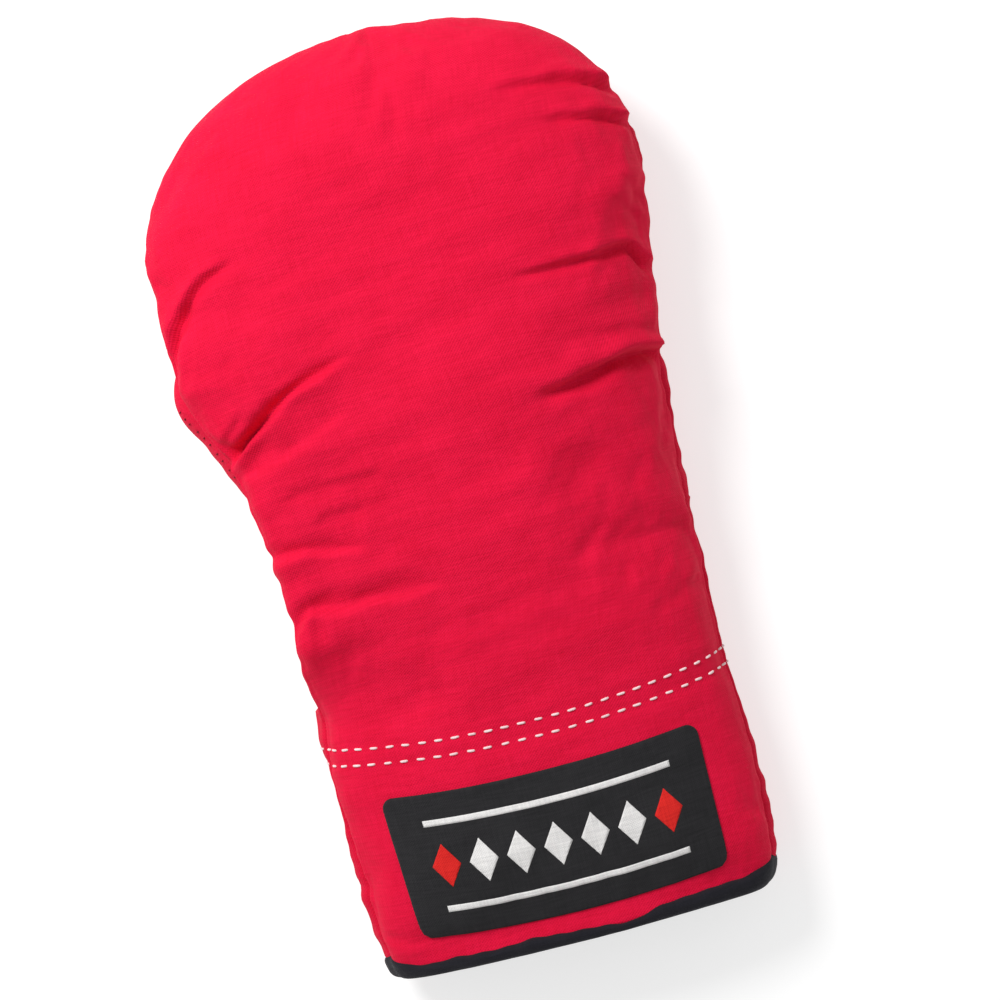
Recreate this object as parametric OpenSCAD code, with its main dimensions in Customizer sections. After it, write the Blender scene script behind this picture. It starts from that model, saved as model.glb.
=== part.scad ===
// Padded oven mitt for the right hand, lying palm down on a table.
// X runs across the mitt, Y from the cuff to the fingertips and Z up from the table.
// The origin is on the table, under the middle of the mitt.
// Every layer is the space between two surfaces of the same family: each surface lies a
// given depth inside the outer cloth, and is split at the side seam into a back and a palm.

/* [Mitt] */
// Length from the bottom of the cuff to the fingertips
mitt_length = 320; // [300:1:340]
// Width across the fingers, thumb tip included
mitt_width = 177; // [172:1:184]
// Height of the padded fingers above the table
mitt_height = 64; // [62:1:70]
// Distance of the cuff's left side from the middle line
cuff_left = 66; // [62:1:70]
// Distance of the cuff's right side from the middle line
cuff_right = 74.5; // [70:1:78]
// Height of the cuff above the table
cuff_height = 43; // [40:1:48]

/* [Layers] */
// Thickness of the outer cloth
cloth_t = 0.9; // [0.6:0.1:1.2]
// Thickness of the wadding
wadding_t = 6; // [4:0.5:7]
// Thickness of the lining
lining_t = 0.8; // [0.5:0.1:1]
// Air between two layers
layer_gap = 0.3; // [0.2:0.05:0.4]

/* [Thumb] */
// Half of the thumb's width
thumb_half_width = 20; // [18:0.5:21]
// Height of the thumb above the table
thumb_height = 31.5; // [29:0.5:32]
// X of the middle of the thumb's root
thumb_root_x = -38; // [-42:1:-36]
// Y where the thumb's tip starts to round off
thumb_tip_y = 52; // [46:1:56]

/* [Cuff] */
// Height of the black band that shows below the red cloth
binding_width = 6.7; // [5:0.1:9]
// Y of the upper row of stitches
stitch_y = -79; // [-84:1:-70]
// Distance between the two rows of stitches
stitch_row_gap = 5.5; // [4:0.5:8]
// Distance from one stitch to the next
stitch_pitch = 5.8; // [5:0.1:8]
// Length of a stitch
stitch_length = 2.9; // [2:0.1:4]
// Thickness of the sewing thread
thread_d = 0.8; // [0.5:0.1:1]

/* [Label] */
// Width of the black label
label_w = 111; // [90:1:114]
// Height of the black label
label_h = 50.5; // [36:0.5:52]
// X of the label's middle
label_x = 3; // [0:1:6]
// Y of the label's middle
label_y = -122; // [-124:1:-119]
// Thickness of the label
label_t = 0.8; // [0.5:0.1:1.2]
// Thickness of the print on the label
print_t = 0.3; // [0.2:0.1:0.5]

/* [Hidden] */

// Depths below the outer surface at which the layers start and end.
cloth = [0, cloth_t];
wadding = [cloth[1] + layer_gap, cloth[1] + layer_gap + wadding_t];
lining = [wadding[1] + layer_gap, wadding[1] + layer_gap + lining_t];
// Half of the slit between the back and the palm along the side seam.
seam_slit = 0.15;

// Outline, seen from above.
half_width = mitt_width / 2;
finger_left = half_width - 2.3;
hem_y = -mitt_length / 2 + binding_width;
tip_y = mitt_length / 2;
// The fingertips round off from here on, as a superellipse.
cap_y = 92;
cap_power = 2.35;
// Share of the cap's curve that is drawn, so that its end is a short edge and no point.
cap_reach = 0.995;

// Side view.
seam_height = 24;
finger_seam_height = 32;
thumb_side_seam_height = 44;
cuff_lift = 2.5;
side_fullness = 0.8;
palm_fullness = 0.55;
// The palm lies flat on the table where its curve would pass below it.
palm_flattening = 1.15;

// Hollow in the palm that the thumb lies in.
hollow_height = thumb_height + 2;
hollow_reach = [thumb_half_width + 3, thumb_half_width + 30];
root_y = -46;
root_slope = 12;
hollow_end = [thumb_tip_y + 21, thumb_tip_y + 47];
// Share of a layer's depth by which it also moves away from the hollow's walls.
wall_shift = 0.6;

// Thumb: its middle line bends outwards from the root to the tip.
thumb_bend = 1.7;
thumb_tip_x = -half_width + thumb_half_width;
thumb_cap_power = 2.1;
thumb_fullness = 0.75;
thumb_flattening = 1.1;
thumb_gap = 0.5;

// Rows of points along the mitt, close together at the ends of the thumb's hollow.
body_rows = [
    hem_y, -128, -104, -80, -62, root_y - 6, root_y, root_y + root_slope / 2,
    root_y + root_slope, root_y + root_slope + 8, -10, 12, 34, 54,
    hollow_end[0], mix(hollow_end[0], cap_y, 0.5), cap_y,
];
body_cap_rows = 7;
back_columns = 14;
palm_columns = 20;
thumb_rows = 8;
thumb_cap_rows = 5;
thumb_columns = 8;

function mix(a, b, u) = a + (b - a) * u;
function clamp(u) = max(0, min(1, u));
function ease(u) = u * u * (3 - 2 * u);
function ramp(v, from, to) = ease(clamp((v - from) / (to - from)));

// --- Outer shape of the mitt's body; depth is how far inside the outer cloth ---

function body_left(y) = -mix(cuff_left, finger_left, ramp(y, -20, 70));
function body_right(y) = mix(cuff_right, half_width, ease(clamp((y + 45) / (cap_y + 45)) ^ 1.3));
function body_mid(y) = (body_left(y) + body_right(y)) / 2;

// How far along the cap a row is, and how wide and how high the body still is there.
function cap_share(y, depth) = clamp((y - cap_y) / (tip_y - depth - cap_y));
function cap_width(s) = (1 - (cap_reach * s) ^ cap_power) ^ (1 / cap_power);
function cap_height(s) = (1 - s ^ cap_power) ^ (1 / cap_power);

function body_half(y, depth) =
    ((body_right(y) - body_left(y)) / 2 - depth) * cap_width(cap_share(y, depth));

function seam_left(y) =
    mix(mix(seam_height, thumb_side_seam_height, ramp(y, -70, -36)), finger_seam_height,
        ramp(y, 58, 120));
function seam_right(y) = mix(seam_height, finger_seam_height, ramp(y, -30, 90));
function seam_z(x, y) =
    mix(seam_left(y), seam_right(y), clamp((x - body_left(y)) / (body_right(y) - body_left(y))));

function roof_z(y, depth) = mix(cuff_height, mitt_height, ramp(y, -150, 45)) - depth;

// Height of the palm above the table: nothing, but for the cuff and the thumb's hollow.
function thumb_line_x(y) =
    mix(thumb_root_x, thumb_tip_x, clamp((y - root_y) / (thumb_tip_y - root_y)) ^ thumb_bend);
function hollow_z(x, y, shift) =
    hollow_height
    * (1 - ramp(x - shift - thumb_line_x(y), hollow_reach[0], hollow_reach[1]))
    * clamp((y + shift - root_y) / root_slope)
    * (1 - ramp(y - shift, hollow_end[0], hollow_end[1]));
function floor_z(x, y, depth) =
    depth + cuff_lift * (1 - ramp(y, -72, -54)) + hollow_z(x, y, depth * wall_shift);

// turn is 0 at the right seam and 180 at the left seam, over the back or under the palm.
function back_point(y, turn, depth) =
    let (
        x = body_mid(y) + body_half(y, depth) * cos(turn),
        rise = cap_height(cap_share(y, depth)) * sin(turn) ^ side_fullness
    )
    [x, y, mix(seam_z(x, y) + seam_slit, roof_z(y, depth), rise)];

function palm_point(y, turn, depth) =
    let (
        x = body_mid(y) + body_half(y, depth) * cos(turn),
        drop = min(1, palm_flattening * sin(turn) ^ palm_fullness),
        fall = cap_height(cap_share(y, depth)) * drop
    )
    [x, y, mix(seam_z(x, y) - seam_slit, floor_z(x, y, depth), fall)];

// Rows of the palm's inner layers step back from the hollow's walls, as the layers do.
function palm_row_y(y, depth) =
    y - depth * wall_shift * ramp(y, -62, root_y - 6) * (1 - ramp(y, -26, -10))
      + depth * wall_shift * ramp(y, 54, hollow_end[0]) * (1 - ramp(y, hollow_end[0], cap_y));
function row_list(depth) = concat(
    body_rows,
    [for (k = [1:body_cap_rows]) mix(cap_y, tip_y - depth, sin(90 * k / body_cap_rows))]
);
function turns(columns) = [for (k = [0:columns]) 180 * k / columns];
function on_seam(turn) = turn == 0 || turn == 180;

function back_grid(depth) =
    [for (y = row_list(depth)) [for (a = turns(back_columns)) back_point(y, a, depth)]];
function palm_grid(depth) = [
    for (y = row_list(depth)) [
        for (a = turns(palm_columns)) palm_point(on_seam(a) ? y : palm_row_y(y, depth), a, depth)
    ]
];

// --- Outer shape of the thumb ---

function thumb_slope(u) =
    thumb_bend * (thumb_tip_x - thumb_root_x) / (thumb_tip_y - root_y) * u ^ (thumb_bend - 1);
function thumb_across(u) = [1, -thumb_slope(u), 0] / norm([1, thumb_slope(u)]);
function thumb_along(u) = [thumb_slope(u), 1, 0] / norm([1, thumb_slope(u)]);
function thumb_middle(u) = [
    mix(thumb_root_x, thumb_tip_x, u ^ thumb_bend), mix(root_y, thumb_tip_y, u), thumb_height / 2,
];

// side is 1 for the half that faces the palm and -1 for the half that lies on the table.
function thumb_point(u, s, turn, depth, side) =
    let (
        wide = (thumb_half_width - depth) * (1 - (cap_reach * s) ^ thumb_cap_power) ^ (1 / thumb_cap_power),
        high = (thumb_height / 2 - depth) * (1 - s ^ thumb_cap_power) ^ (1 / thumb_cap_power),
        rise = min(1, thumb_flattening * sin(turn) ^ thumb_fullness),
        z = side * (seam_slit * (1 - rise) + high * rise),
        lean = (thumb_height / 2 + z) / hollow_height * root_slope + thumb_gap
    )
    thumb_middle(u)
    + thumb_across(u) * wide * cos(turn)
    + thumb_along(u) * (thumb_half_width - depth) * s
    + [0, lean * (1 - ramp(u, 0, 0.45)), z];

function thumb_grid(depth, side) = concat(
    [for (k = [0:thumb_rows]) let (u = k / thumb_rows)
        [for (a = turns(thumb_columns)) thumb_point(u, 0, a, depth, side)]],
    [for (k = [1:thumb_cap_rows]) let (s = sin(90 * k / thumb_cap_rows))
        [for (a = turns(thumb_columns)) thumb_point(1, s, a, depth, side)]]
);

// --- Solids between two grids of points ---

function flat_list(rows) = [for (row = rows) for (p = row) p];

// Two triangles between four points of a grid, seen clockwise from outside.
function two_triangles(a, b, c, d) = [[a, b, c], [a, c, d]];

// The space between an outer and an inner grid of the same size.
module layer(outer, inner) {
    rows = len(outer);
    columns = len(outer[0]);
    size = rows * columns;
    last = rows - 1;
    edge = columns - 1;
    faces = [
        for (i = [0:last - 1]) for (j = [0:edge - 1])
            let (a = i * columns + j, b = a + 1, c = b + columns, d = a + columns)
            each concat(two_triangles(a, b, c, d),
                two_triangles(a + size, d + size, c + size, b + size)),
        for (i = [0:last - 1])
            let (a = i * columns, d = a + columns)
            each concat(two_triangles(a, d, d + size, a + size),
                two_triangles(a + edge, a + edge + size, d + edge + size, d + edge)),
        for (j = [0:edge - 1])
            let (a = j, b = j + 1, c = last * columns + j, d = c + 1)
            each concat(two_triangles(a, a + size, b + size, b),
                two_triangles(c, d, d + size, c + size)),
    ];
    polyhedron(points = concat(flat_list(outer), flat_list(inner)), faces = faces);
}

module back_layer(depths) {
    layer(back_grid(depths[0]), back_grid(depths[1]));
}

module palm_layer(depths) {
    difference() {
        layer(palm_grid(depths[1]), palm_grid(depths[0]));
        thumb_hole();
    }
}

module thumb_layer(depths, side) {
    outer = thumb_grid(depths[side > 0 ? 0 : 1], side);
    inner = thumb_grid(depths[side > 0 ? 1 : 0], side);
    layer(outer, inner);
}

// Way from the hand's space into the thumb, through the slope at the thumb's root.
module thumb_hole() {
    wide = thumb_half_width - lining[1];
    high = thumb_height / 2 - lining[1];
    translate([thumb_root_x, root_y - 14, thumb_height / 2])
        rotate([-90, 0, 0])
            linear_extrude(root_slope + 26)
                hull()
                    for (x = [-1, 1])
                        translate([x * (wide - high), 0])
                            circle(r = high, $fn = 32);
}

// --- Pieces of the mitt's body ---

module back_panel() {
    color("#dc2341") back_layer(cloth);
}

module palm_panel() {
    color("#d0203c") palm_layer(cloth);
}

module back_wadding() {
    color("#f2ede2") back_layer(wadding);
}

module palm_wadding() {
    color("#ece6d8") palm_layer(wadding);
}

module back_lining() {
    color("#1b1b22") back_layer(lining);
}

module palm_lining() {
    color("#1e1e26") palm_layer(lining);
}

// --- Cuff ---

// Closed band around the mouth; its section is a list of [depth, distance below the hem].
binding_section = [
    [0.5, 0.3], [0.1, 0.4 * binding_width], [1.3, 0.8 * binding_width], [3.6, binding_width],
    [5, binding_width], [7.1, 0.8 * binding_width], [8.2, 0.4 * binding_width], [7.8, 0.3],
];
binding_turns = 16;

function mouth_point(y, turn, depth) =
    turn <= 180 ? back_point(y, turn, depth) : palm_point(y, 360 - turn, depth);

module cuff_binding() {
    rings = 2 * binding_turns;
    sides = len(binding_section);
    points = [
        for (k = [0:rings - 1]) for (p = binding_section)
            mouth_point(hem_y - p[1], 360 * k / rings, p[0])
    ];
    faces = [
        for (k = [0:rings - 1]) for (j = [0:sides - 1])
            let (
                a = k * sides + j,
                b = k * sides + (j + 1) % sides,
                c = (k + 1) % rings * sides + (j + 1) % sides,
                d = (k + 1) % rings * sides + j
            )
            each two_triangles(a, b, c, d)
    ];
    color("#17171f") polyhedron(points = points, faces = faces);
}

// The rows of stitches hang a little towards the cuff in the middle.
stitch_sag = 3;
stitch_turn_step = 3;
stitch_lift = -thread_d / 2 - 0.15;

function stitch_line(y, turn, back) =
    let (row = y - stitch_sag * sin(turn))
    back ? back_point(row, turn, stitch_lift) : palm_point(row, turn, stitch_lift);

// Pairs of [length along the row, turn], from the right seam to the left one.
function stitch_table(y, back) = [
    for (
        turn = 0, along = 0;
        turn <= 180;
        along = along + norm(stitch_line(y, turn + stitch_turn_step, back) - stitch_line(y, turn, back)),
        turn = turn + stitch_turn_step
    )
    [along, turn]
];

module stitch_row(y, back) {
    table = stitch_table(y, back);
    total = table[len(table) - 1][0];
    count = floor(total / stitch_pitch);
    for (k = [0:count - 1]) {
        turn = lookup((k + 0.5) * total / count, table);
        here = stitch_line(y, turn, back);
        next = stitch_line(y, turn + 1, back);
        translate(here)
            rotate([0, atan2(here[2] - next[2], next[0] - here[0]), 0])
                cube([stitch_length, thread_d, thread_d], center = true);
    }
}

module stitches_around(y) {
    color("#f3dcd9") {
        stitch_row(y, true);
        stitch_row(y, false);
    }
}

// --- Label on the back of the cuff, with a plain pattern of stripes and lozenges ---

label_gap = 0.4;
label_corner = 4.5;
label_columns = 14;
print_gap = 0.1;
stripe_w = 86;
stripe_h = 2.2;
stripe_rows = [-15, 15];
lozenge_w = 10;
lozenge_h = 15;
lozenge_count = 7;
lozenge_pitch = 13;

function back_z(x, y, depth) =
    back_point(y, acos((x - body_mid(y)) / body_half(y, depth)), depth)[2];

// A flat outline laid over the back. rows holds [dy, left, right] about the middle.
function laid_grid(middle, rows, columns, depth) = [
    for (row = rows) let (y = middle[1] + row[0])
        [for (k = [0:columns]) let (x = middle[0] + mix(row[2], row[1], k / columns))
            [x, y, back_z(x, y, depth)]]
];
module laid_on_back(middle, rows, columns, depths) {
    layer(laid_grid(middle, rows, columns, depths[0]), laid_grid(middle, rows, columns, depths[1]));
}

function label_half(inset) =
    label_w / 2 - label_corner + sqrt(max(0, label_corner ^ 2 - (label_corner - inset) ^ 2));
label_insets = [0, 0.25, 1, 2.2, 4.5];
label_rows = concat(
    [for (u = label_insets) let (half = label_half(min(u, 1) * label_corner))
        [-label_h / 2 + u * label_corner, -half, half]],
    [for (k = [4:-1:0]) let (u = label_insets[k], half = label_half(min(u, 1) * label_corner))
        [label_h / 2 - u * label_corner, -half, half]]
);
label_depths = [-label_gap - label_t, -label_gap];
print_depths = [label_depths[0] - print_gap - print_t, label_depths[0] - print_gap];

module label_patch() {
    color("#26262a") laid_on_back([label_x, label_y], label_rows, label_columns, label_depths);
}

module lozenge(x) {
    tip = 0.4;
    rows = [
        [-lozenge_h / 2, -tip, tip], [0, -lozenge_w / 2, lozenge_w / 2], [lozenge_h / 2, -tip, tip],
    ];
    laid_on_back([label_x + x, label_y], rows, 2, print_depths);
}

module label_stripes() {
    color("#e6e6e4") {
        for (dy = stripe_rows)
            laid_on_back(
                [label_x, label_y + dy],
                [[-stripe_h / 2, -stripe_w / 2, stripe_w / 2], [stripe_h / 2, -stripe_w / 2, stripe_w / 2]],
                label_columns, print_depths
            );
        for (k = [1:lozenge_count - 2])
            lozenge((k - (lozenge_count - 1) / 2) * lozenge_pitch);
    }
}

module label_lozenges() {
    color("#d62f2a")
        for (k = [0, lozenge_count - 1])
            lozenge((k - (lozenge_count - 1) / 2) * lozenge_pitch);
}

// --- Pieces of the thumb ---

module thumb_outer_panel() {
    color("#c81e3a") thumb_layer(cloth, -1);
}

module thumb_inner_panel() {
    color("#dc2341") thumb_layer(cloth, 1);
}

module thumb_outer_wadding() {
    color("#ece6d8") thumb_layer(wadding, -1);
}

module thumb_inner_wadding() {
    color("#f2ede2") thumb_layer(wadding, 1);
}

module thumb_outer_lining() {
    color("#1e1e26") thumb_layer(lining, -1);
}

module thumb_inner_lining() {
    color("#1b1b22") thumb_layer(lining, 1);
}

// Dark stitches beside the seam, on the left of the thumb and around its tip.
seam_stitch_turn = 152;
seam_stitch_count = 11;

module thumb_seam_stitches() {
    color("#7d0f22")
        for (k = [0:seam_stitch_count - 1]) {
            u = mix(0.4, 0.97, k / (seam_stitch_count - 1));
            here = thumb_point(u, 0, seam_stitch_turn, stitch_lift, 1);
            along = thumb_along(u);
            translate(here)
                rotate([0, 0, atan2(along[1], along[0])])
                    cube([stitch_length, thread_d, thread_d], center = true);
        }
}

back_panel();
palm_panel();
back_wadding();
palm_wadding();
back_lining();
palm_lining();
cuff_binding();
stitches_around(stitch_y);  // cuff_stitches_upper
stitches_around(stitch_y - stitch_row_gap);  // cuff_stitches_lower
label_patch();
label_stripes();
label_lozenges();
thumb_outer_panel();
thumb_inner_panel();
thumb_outer_wadding();
thumb_inner_wadding();
thumb_outer_lining();
thumb_inner_lining();
thumb_seam_stitches();
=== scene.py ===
"""Padded oven mitt for the right hand, lying palm down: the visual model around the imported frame.

Lengths are millimetres, as in the design, until a mesh is made. X runs across the mitt, Y from
the cuff to the fingertips and Z up from the table. Each cloth surface is a grid of points: its
rows run along the mitt and its columns from the right side seam (turn 0) to the left one (turn 180).
"""
import math

import bpy
import numpy as np
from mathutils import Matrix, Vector


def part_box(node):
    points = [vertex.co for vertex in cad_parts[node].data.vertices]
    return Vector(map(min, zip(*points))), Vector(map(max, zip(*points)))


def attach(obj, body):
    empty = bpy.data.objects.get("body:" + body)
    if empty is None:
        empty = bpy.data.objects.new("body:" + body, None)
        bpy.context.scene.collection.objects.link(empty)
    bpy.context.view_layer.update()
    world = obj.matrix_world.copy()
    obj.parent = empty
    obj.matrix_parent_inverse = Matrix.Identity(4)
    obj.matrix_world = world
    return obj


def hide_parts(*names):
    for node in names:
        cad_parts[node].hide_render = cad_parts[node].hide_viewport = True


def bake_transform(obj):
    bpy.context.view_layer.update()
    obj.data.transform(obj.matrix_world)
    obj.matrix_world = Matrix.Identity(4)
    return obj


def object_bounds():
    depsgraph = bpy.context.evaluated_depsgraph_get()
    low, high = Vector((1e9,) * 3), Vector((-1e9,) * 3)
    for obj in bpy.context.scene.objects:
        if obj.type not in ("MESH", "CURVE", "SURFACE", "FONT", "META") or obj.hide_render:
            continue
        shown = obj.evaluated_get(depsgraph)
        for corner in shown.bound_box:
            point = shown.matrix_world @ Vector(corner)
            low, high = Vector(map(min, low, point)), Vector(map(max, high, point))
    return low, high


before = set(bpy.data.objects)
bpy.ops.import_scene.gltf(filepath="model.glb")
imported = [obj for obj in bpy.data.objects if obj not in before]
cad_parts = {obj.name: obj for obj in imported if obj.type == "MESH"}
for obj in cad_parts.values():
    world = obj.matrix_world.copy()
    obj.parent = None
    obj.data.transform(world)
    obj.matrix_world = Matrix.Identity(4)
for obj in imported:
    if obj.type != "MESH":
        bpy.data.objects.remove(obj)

MM = 0.001
CAD_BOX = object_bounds()


def box_mm(node):
    """Lowest and highest corner of a CAD node, in millimetres."""
    low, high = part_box(node)
    return np.array(low) / MM, np.array(high) / MM


# --- Driving dimensions, from the frame where a CAD node holds them ---
BOX_LOW, BOX_HIGH = (np.array(corner) / MM for corner in CAD_BOX)
TIP_INSET = 0.9
TIP_Y = BOX_HIGH[1] - TIP_INSET
MOUTH_Y = BOX_LOW[1]
ROOF = BOX_HIGH[2]
HALF_WIDTH = (BOX_HIGH[0] - BOX_LOW[0]) / 2
THUMB_HEIGHT = box_mm("thumb_inner_panel")[1][2]

CLOTH = 0.8
CAP_Y = 92.0
CAP_CENTRE = 1.0
CAP_POWER = 2.35
CAP_POWER_LEFT = 2.0
CAP_POWER_RIGHT = 2.58
CAP_REACH = 0.995
THUMB_HALF = 20.0
ROOT_Y = -46.0
ROOT_SLOPE = 12.0
THUMB_TIP_Y = 52.0
THUMB_BEND = 1.7
THUMB_ROOT_X = -38.0
THUMB_TIP_X = -HALF_WIDTH + THUMB_HALF
HOLLOW_HEIGHT = THUMB_HEIGHT + 1.2
CUFF_SEAM, THUMB_SEAM, FINGER_SEAM = 23.0, 43.0, 31.0
ROOF_ROUNDNESS = 0.82
PALM_STEEPNESS, PALM_ROUNDNESS = 1.15, 0.55
PALM_BULGE = 1.35
CUFF_LIFT = 2.0
TABLE_CLEARANCE = 0.05

# Layers under the outer cloth: depths of their outer and inner faces, and how much coarser they are.
WADDING = (1.4, 7.2)
LINING = (7.5, 8.3)
COARSER = 3
HIGHEST_LAYER = 1.0
HIGHEST_THUMB_LAYER = 0.3

# Seams and folds.
SEAM_DEPTH = 1.6
SEAM_WIDTH = 1.5
PUCKER_REACH = 8.5
FOLD_REACH = 16
GATHER_BACK, GATHER_PALM = 0.42, 1.0
LUMP_HEIGHT, LUMP_LENGTH = 0.9, 52
LINE_HEIGHT, LINE_LENGTH = 0.22, 11
ROW_DIP, ROW_WIDTH = 0.3, 1.5

# Cloth simulation.
SIM_ROWS, SIM_COLUMNS = 92, 76
SIM_FRAMES = 22
SIM_PRESSURE = 4.0
SIM_BENDING = 0.02
SIM_SLACK = 0.04
SIM_BLUR = 5
SIM_LIMIT = 1.6
SIM_QUALITY = 5
SIM_MASS = 0.15

# Binding.
BINDING_TURNS = 420
BINDING_SIDES = 28
BINDING_TOP = -155.0
BINDING_CORNER = 4.4
BINDING_MIDDLE = 4.1
BINDING_HALF = 5.4
BINDING_SQUARENESS = 0.6
BINDING_LOW = -159.5
BINDING_RIGHT = 2.4
BINDING_TILT = 0.7
BINDING_WAVE, BINDING_RIPPLE = 0.75, 0.2

# Cuff stitches.
STITCH_Y = -81.7
STITCH_BOW = (5.0, 6.2)
STITCH_GAP = 5.5
STITCH_LENGTH = 3.0
STITCH_PITCH = 5.8
STITCH_RADIUS = 0.44
STITCH_STEPS = 9

# Label.
LABEL_X, LABEL_Y = 3.2, -122.0
LABEL_HALF_X, LABEL_HALF_Y = 55.3, 25.2
LABEL_CORNER = 4.5
LABEL_THICK = 0.75
LABEL_SAG = 3.0
LABEL_PULL = 2.8
LABEL_STEP = 0.85
PRINT_THICK = 0.1
LABEL_RIM = 0.02
LABEL_EDGE = 0.7
LABEL_LOW = -0.35
PRINT_SINK = 0.03
STRIPE_Y, STRIPE_HALF_X, STRIPE_HALF_Y = 15.0, 43.0, 1.1
LOZENGES_EACH_SIDE = 3
LOZENGE_PITCH, LOZENGE_HALF_X, LOZENGE_HALF_Y = 13.0, 5.0, 7.5

# Thumb.
THUMB_ROWS, THUMB_CAP, THUMB_COLUMNS = 117, 45, 90
THUMB_TUCK = 0.14
THUMB_POWER = 1.95
THUMB_STITCHES = 22
THUMB_STITCH_RADIUS, THUMB_STITCH_SIDES = 0.32, 6
THUMB_STITCH_COLUMN, THUMB_STITCH_START = 0.8, 0.47

# Camera and light.
CAMERA_OVER = (12.4, -7.1)
CAMERA_PLANE = 30.0
CAMERA_DISTANCE = 1000.0
CAMERA_VIEW = 343.0
CAMERA_ROLL = math.radians(14)
WORLD_LIGHT = 0.55
FLOOR_GLOW = 0.6
LIGHTS = (
    ("key", (-0.42, 0.62, 0.8), 0.42, 10.5),
)


# --- Small tools ---

def mix(a, b, u):
    return a + (b - a) * u


def ramp(v, start, end):
    u = np.clip((v - start) / (end - start), 0, 1)
    return u * u * (3 - 2 * u)


def bell(v, width):
    return np.exp(-((v / width) ** 2))


def curve_through(points):
    """Smooth function of one variable through a few given points, with no overshoot."""
    xs, ys = np.array(points, float).T
    slope = np.diff(ys) / np.diff(xs)
    product = slope[:-1] * slope[1:]
    total = np.where(product > 0, slope[:-1] + slope[1:], 1)
    inner = np.where(product > 0, 2 * product / total, 0)
    tangent = np.concatenate([slope[:1], inner, slope[-1:]])

    def value(v):
        v = np.clip(v, xs[0], xs[-1])
        i = np.clip(np.searchsorted(xs, v) - 1, 0, len(xs) - 2)
        step = xs[i + 1] - xs[i]
        t = (v - xs[i]) / step
        start = (1 + 2 * t) * (1 - t) ** 2 * ys[i] + t * (1 - t) ** 2 * step * tangent[i]
        end = t * t * (3 - 2 * t) * ys[i + 1] + t * t * (t - 1) * step * tangent[i + 1]
        return start + end

    return value


def waves(x, y, wavelength, seed, count=10, stretch=1.0):
    """Smooth random bumps, about -1 to 1, that are longer along X by the stretch."""
    rng = np.random.default_rng(seed)
    total = np.zeros(np.broadcast(x, y).shape)
    for _ in range(count):
        heading = rng.uniform(0, math.tau)
        length = wavelength * rng.uniform(0.65, 1.6)
        phase = rng.uniform(0, math.tau)
        along = x * math.cos(heading) / stretch + y * math.sin(heading)
        total = total + np.sin(math.tau * along / length + phase)
    return total / math.sqrt(count)


def rounded(share, power):
    """Width left at a share of the way out to a rounded end."""
    return (1 - share ** power) ** (1 / power)


def normals_of(grid, outward):
    """Unit normals of a grid of points, turned towards outward's side of it."""
    down = np.gradient(grid, axis=0)
    across = np.gradient(grid, axis=1)
    normal = np.cross(across, down)
    normal /= np.maximum(np.linalg.norm(normal, axis=2, keepdims=True), 1e-9)
    facing = np.sign(np.sum(normal * outward, axis=2).mean())
    return normal * facing


def arc_lengths(grid, axis):
    """Length along the grid's lines, from its first row or column."""
    step = np.linalg.norm(np.diff(grid, axis=axis), axis=2)
    start = np.zeros_like(np.take(step, [0], axis=axis))
    return np.concatenate([start, np.cumsum(step, axis=axis)], axis=axis)


# --- Outer shape of the mitt's body ---

left_edge = curve_through([
    (-160, 62.5), (-150, 64.8), (-140, 66.6), (-110, 67.6), (-88, 69.0), (-76, 69.2), (-64, 67.4),
    (-26, 67.3), (-5, 69.2), (16, 72.2), (26, 74.4), (40, 80.2), (54, 84.2), (68, 85.8), (92, 85.8),
])
right_edge = curve_through([
    (-160, 71.0), (-152, 74.6), (-142, 76.6), (-117, 77.6), (-79, 76.5), (-36, 76.5), (-8, 77.0),
    (19, 79.2), (34, 80.4), (55, 82.4), (76, 85.6), (92, 87.8),
])
roof_line = curve_through([
    (-160, 40.5), (-150, 42.5), (-120, 46.0), (-84, 48.5), (-50, 52.5), (-10, 58.5), (30, 62.5),
    (60, ROOF - 0.6), (92, ROOF - 0.3),
])
# How far the seam lies inside the body's widest line: the palm's cloth bulges out past it.
left_inset = curve_through([(-160, 2.6), (-72, 2.8), (-52, 0.0), (52, 0.0), (64, 1.4), (84, 0.4)])
right_inset = curve_through([(-160, 2.0), (-70, 1.6), (20, 2.2), (32, 0.2), (92, 0.4)])


def seam_left(y):
    rise = mix(CUFF_SEAM, THUMB_SEAM, ramp(y, -70, -36))
    return mix(rise, FINGER_SEAM, ramp(y, 58, 125))


def seam_right(y):
    return mix(CUFF_SEAM, FINGER_SEAM, ramp(y, -30, 90))


def thumb_line_x(y):
    u = np.clip((y - ROOT_Y) / (THUMB_TIP_Y - ROOT_Y), 0, 1)
    return mix(THUMB_ROOT_X, THUMB_TIP_X, u ** THUMB_BEND)


def hollow(x, y, shift):
    """Height of the palm above the table where the thumb lies under it."""
    beside = 1 - ramp(x - shift - thumb_line_x(y), THUMB_HALF + 0.5, THUMB_HALF + 26)
    root = ramp(y + shift, ROOT_Y - 1, ROOT_Y + ROOT_SLOPE + 1)
    end = 1 - ramp(y - shift, THUMB_TIP_Y + 19, THUMB_TIP_Y + 50)
    return HOLLOW_HEIGHT * beside * root * end


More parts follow.
